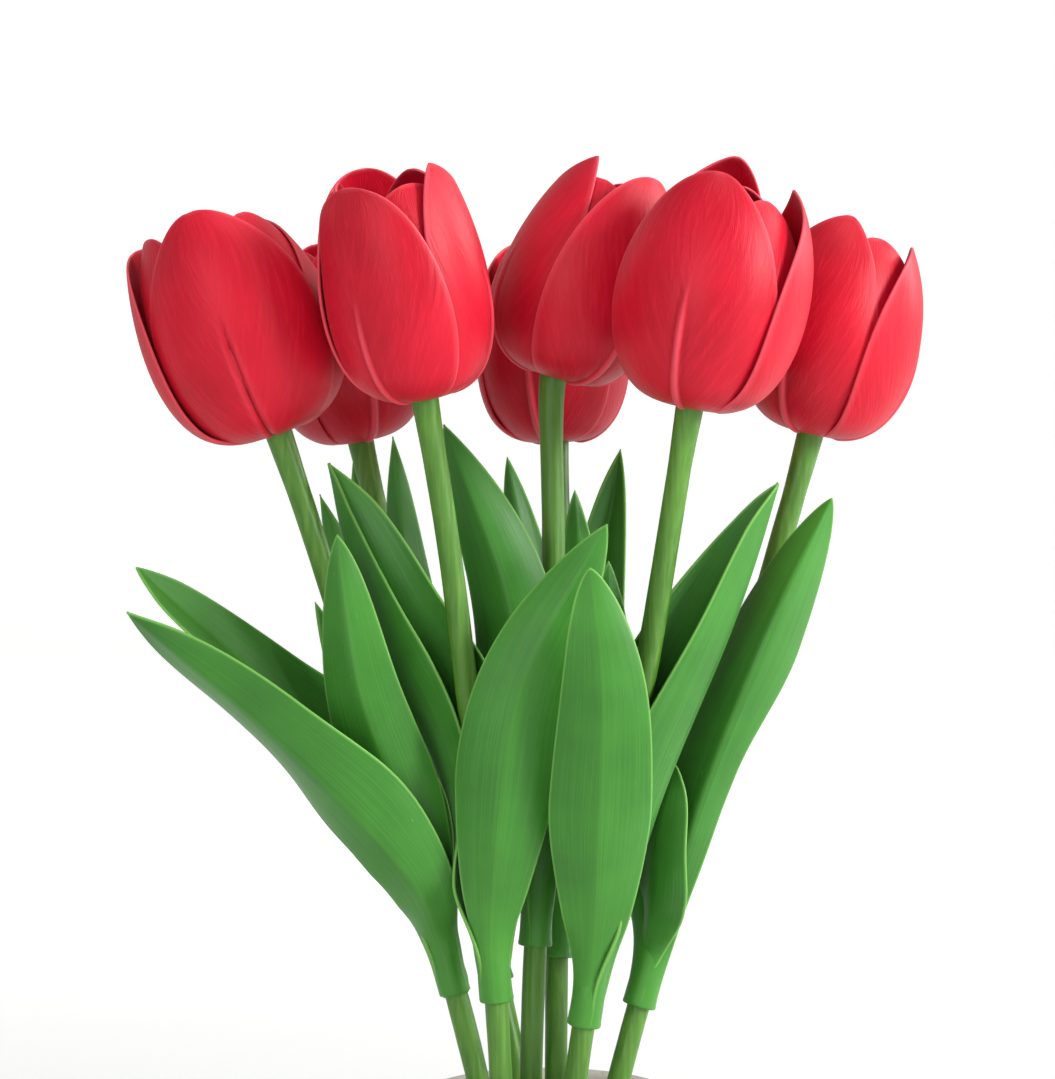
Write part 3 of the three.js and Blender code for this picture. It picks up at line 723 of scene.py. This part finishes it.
vaseShape = {"Around": 128, "Along": 150}
vaseWall = dict(outline=[(33, 0), (39, 22), (42, 52), (38, 88), (30.5, 120), (28, 137), (31, 150)],
                wall=3.6, floor=6, lipHeight=1.15,
                foot=[(0, 0, 0), (31.2, 0, 0), (32.4, 0, 0.25), (33.1, 0, 1.1)],
                hollow=[(33.6, 0, 9.2), (31.5, 0, 7.2), (28, 0, 6), (0, 0, 6)])
vaseLook = dict(glaze=colour(204, 199, 189), warm=colour(192, 185, 172), foot=colour(168, 150, 126),
                cloudScale=26.0, speckScale=620.0, ringScale=(3.0, 3.0, 300.0), roughness=0.2,
                footRoughness=(0.75, 0.75, 0.75, 1), coat=0.35, coatRoughness=0.08)


def vaseMaterial():
    look = vaseLook
    material, surface, add = shader("glazedCeramic")
    spot = add("ShaderNodeTexCoord").outputs["Object"]
    height = add("ShaderNodeSeparateXYZ", {0: spot}).outputs["Z"]
    cloud = noise(add, spot, look["cloudScale"], 4.0)
    speck = noise(add, spot, look["speckScale"], 2.0)
    throwing = noise(add, add("ShaderNodeMapping", {"Vector": spot, "Scale": look["ringScale"]}).outputs[0], 1.0, 2.0)
    base = mixed(add, ramp(add, cloud, [(0.35, 0.0), (0.7, 1.0)]), look["glaze"], look["warm"])
    base = mixed(add, ramp(add, speck, [(0.68, 0.0), (0.74, 0.35)]), base, look["foot"])
    bare = ramp(add, calc(add, "MULTIPLY", height, 100.0), [(0.12, 1.0), (0.17, 0.0)])  # no glaze on the foot
    base = mixed(add, bare, base, look["foot"])
    # the glaze stays glossy enough for one kind of highlight all over
    glossy = ramp(add, cloud, [(0.3, look["roughness"]), (0.7, look["roughness"] + 0.05)])
    rough = mixed(add, bare, glossy, look["footRoughness"])
    relief = calc(add, "ADD", calc(add, "MULTIPLY", throwing, 0.6), calc(add, "MULTIPLY", speck, 0.1))
    finishSurface(surface, add, base, rough, relief, 0.3, 0.00025, **{
        "Coat Weight": look["coat"], "Coat Roughness": look["coatRoughness"]})
    return material


def vaseTree(material):
    # turns the profile curve round the upright axis
    given, add, finish = growTree("turnedProfile", [("Around", "Int"), ("Along", "Int")])
    sheet = add("GeometryNodeMeshGrid", {
        "Size X": 1.0, "Size Y": 1.0, "Vertices X": given["Around"], "Vertices Y": given["Along"]}).outputs[0]
    where = add("ShaderNodeSeparateXYZ", {0: add("GeometryNodeInputPosition").outputs[0]})
    run = calc(add, "ADD", where.outputs[1], 0.5, True)
    profile = add("GeometryNodeSampleCurve", {"Curves": given["Geometry"], "Factor": run}, mode="FACTOR")
    section = add("ShaderNodeSeparateXYZ", {0: profile.outputs["Position"]})
    turn = calc(add, "MULTIPLY", where.outputs[0], 2 * math.pi)
    x = calc(add, "MULTIPLY", calc(add, "COSINE", turn), section.outputs[0])
    y = calc(add, "MULTIPLY", calc(add, "SINE", turn), section.outputs[0])
    spot = add("ShaderNodeCombineXYZ", {0: x, 1: y, 2: section.outputs[2]}).outputs[0]
    turned = add("GeometryNodeSetPosition", {"Geometry": sheet, "Position": spot}).outputs[0]
    return finish(add("GeometryNodeMergeByDistance", {"Geometry": turned, "Distance": 0.00001}).outputs[0], material)


def vaseProfile():
    s = vaseWall
    outer = splineThrough([(r, 0, z) for r, z in s["outline"]])
    top = outer[-1]
    inner = outer[outer[:, 2] > s["floor"] + 4][::-1] - (s["wall"], 0, 0)
    lip = [(top[0] - s["wall"] / 2 + s["wall"] / 2 * math.cos(a), 0, top[2] + s["lipHeight"] * math.sin(a))
           for a in np.linspace(0.25, math.pi - 0.25, 9)]
    return np.vstack([s["foot"], outer[outer[:, 2] > 2.2], lip, inner[1:], s["hollow"]]) * mm


glazedCeramic = vaseMaterial()
vaseMesh = grown("vase.body", vaseTree(glazedCeramic), polyline("vase.profile", vaseProfile()), vaseShape)
fixNormals(vaseMesh)
place("vase.body", vaseMesh, glazedCeramic, "ceramic", "vase")
print("vase made")


studio = dict(radius=4.2, wall=2.6, bend=1.6, sides=96, paper=colour(220, 220, 219), glow=0.08, lift=0.5,
              liftFrom=0.35, liftTo=1.6)
lamps = dict(key=dict(at=(1.8, -1.0, 1.0), size=0.8, watts=50), rim=dict(at=(1.7, 0.75, 0.8), size=0.9, watts=20),
             fill=dict(at=(-1.0, -2.3, 0.9), size=1.5, watts=18), top=dict(at=(0.3, -0.3, 2.4), size=1.2, watts=20))
skyStrength = 0.3
view = dict(lens=130.56, sensor=36, at=(-0.004715, -0.89781, 0.34287), tilt=86, farEnd=20)


def paperMaterial():
    s = studio
    material, surface, add = shader("paper")
    cloud = add("ShaderNodeTexNoise", {"Vector": add("ShaderNodeTexCoord").outputs["Object"], "Scale": 3.0}).outputs["Fac"]
    feed(surface.id_data, surface.inputs["Base Color"], mixed(add, cloud, s["paper"], darkened(s["paper"], 0.985)))
    # the paper shows brighter than it lights, away from the vase's own shadow
    far = add("ShaderNodeVectorMath", {0: add("ShaderNodeTexCoord").outputs["Object"]}, operation="LENGTH").outputs["Value"]
    far = add("ShaderNodeMapRange", {"Value": far, "From Min": s["liftFrom"], "From Max": s["liftTo"]},
              interpolation_type="SMOOTHSTEP")
    seen = calc(add, "MULTIPLY", add("ShaderNodeLightPath").outputs["Is Camera Ray"], far.outputs[0])
    strength = calc(add, "ADD", calc(add, "MULTIPLY", seen, s["lift"]), s["glow"])
    feed(surface.id_data, surface.inputs["Emission Strength"], strength)
    for socket, value in (("Roughness", 0.9), ("Specular IOR Level", 0.1), ("Emission Color", (1, 1, 1, 1))):
        surface.inputs[socket].default_value = value
    return material


def paperSweep():
    # round floor whose edge curves up into a wall, the same from every side
    s = studio
    edge, bend, sides = s["radius"] - s["bend"], s["bend"], s["sides"]
    section = [(r, 0.0) for r in np.linspace(0.0, edge, 8)]
    section += [(edge + bend * math.sin(a), bend - bend * math.cos(a)) for a in np.linspace(0, math.pi / 2, 24)[1:]]
    section += [(s["radius"], bend + s["wall"])]
    points = [(r * math.cos(2 * math.pi * i / sides), r * math.sin(2 * math.pi * i / sides), z)
              for r, z in section[1:] for i in range(sides)]
    points.append((0, 0, 0))
    faces = [(k * sides + i, k * sides + (i + 1) % sides, (k + 1) * sides + (i + 1) % sides, (k + 1) * sides + i)
             for k in range(len(section) - 2) for i in range(sides)]
    faces += [(len(points) - 1, (i + 1) % sides, i) for i in range(sides)]
    mesh = meshOf("paperSweep", points, faces)
    fixNormals(mesh)
    mesh.flip_normals()
    mesh.materials.append(paperMaterial())
    sweep = bpy.data.objects.new("paperSweep", mesh)
    bpy.context.scene.collection.objects.link(sweep)


def softBox(name, at, size, watts, aim=(0, 0, 0.24)):
    lamp = bpy.data.lights.new(name, "AREA")
    lamp.shape = "DISK"
    lamp.size = size
    lamp.energy = watts
    holder = bpy.data.objects.new(name, lamp)
    holder.location = at
    holder.rotation_euler = (Vector(at) - Vector(aim)).to_track_quat("Z", "Y").to_euler()
    bpy.context.scene.collection.objects.link(holder)


def lookFrom():
    camera = bpy.data.cameras.new("camera")
    camera.lens = view["lens"]
    camera.sensor_width = view["sensor"]
    camera.clip_end = view["farEnd"]
    holder = bpy.data.objects.new("camera", camera)
    holder.location = view["at"]
    holder.rotation_euler = (math.radians(view["tilt"]), 0, 0)
    bpy.context.scene.collection.objects.link(holder)
    bpy.context.scene.camera = holder


paperSweep()
for label, lamp in lamps.items():
    softBox(label, **lamp)
sky = bpy.data.worlds.new("sky")
sky.use_nodes = True
background = sky.node_tree.nodes["Background"]
background.inputs["Color"].default_value = (1, 1, 1, 1)
background.inputs["Strength"].default_value = skyStrength
bpy.context.scene.world = sky
bpy.context.scene.view_settings.view_transform = "Standard"
lookFrom()
print("studio set")
